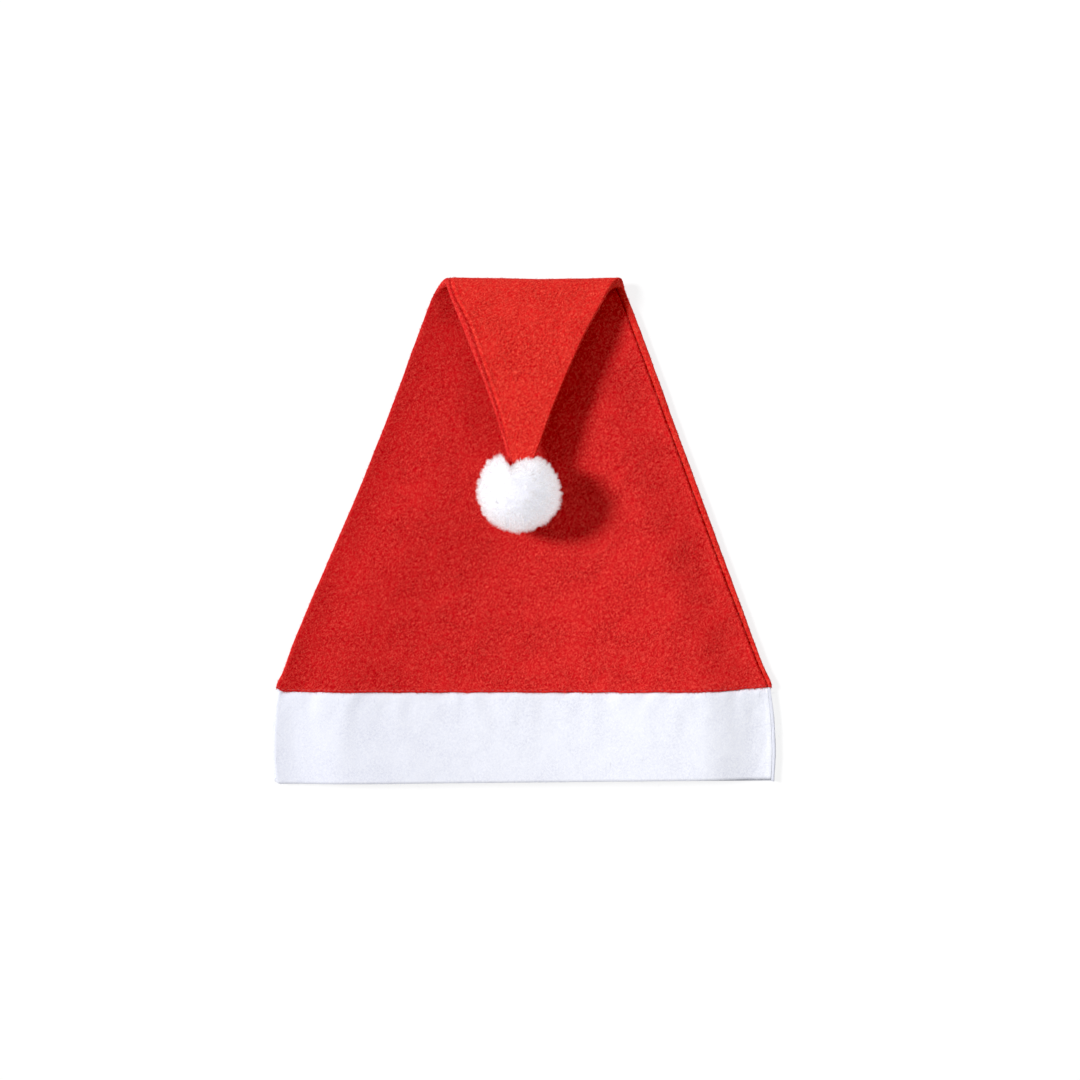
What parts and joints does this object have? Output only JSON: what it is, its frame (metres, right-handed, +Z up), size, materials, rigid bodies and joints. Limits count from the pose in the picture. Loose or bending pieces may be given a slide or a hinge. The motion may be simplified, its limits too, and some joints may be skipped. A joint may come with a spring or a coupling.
{
  "type": "santa hat",
  "caption": "Felt Santa hat lying flat: two red panels, a white band round the open mouth, and the tip folded over the front to a white plush ball.",
  "frame": {"origin": "middle of the hat's box, on the surface that the hat lies on", "axes": "+Z up, away from the surface; +Y from the mouth towards the fold at the top; +X to the right as the picture shows the front"},
  "size_m": [0.2858, 0.2872, 0.0583],
  "materials": {
    "red_felt": "pressed polyester felt, matt, with short loose fibres",
    "white_felt": "pressed polyester felt, matt, cool white",
    "white_plush": "dense clipped plush"
  },
  "bodies": {
    "root": {"crown_front_panel": "red_felt", "crown_back_panel": "red_felt", "band_front": "white_felt", "band_back": "white_felt", "pompom": "white_plush"}
  },
  "joints": []
}
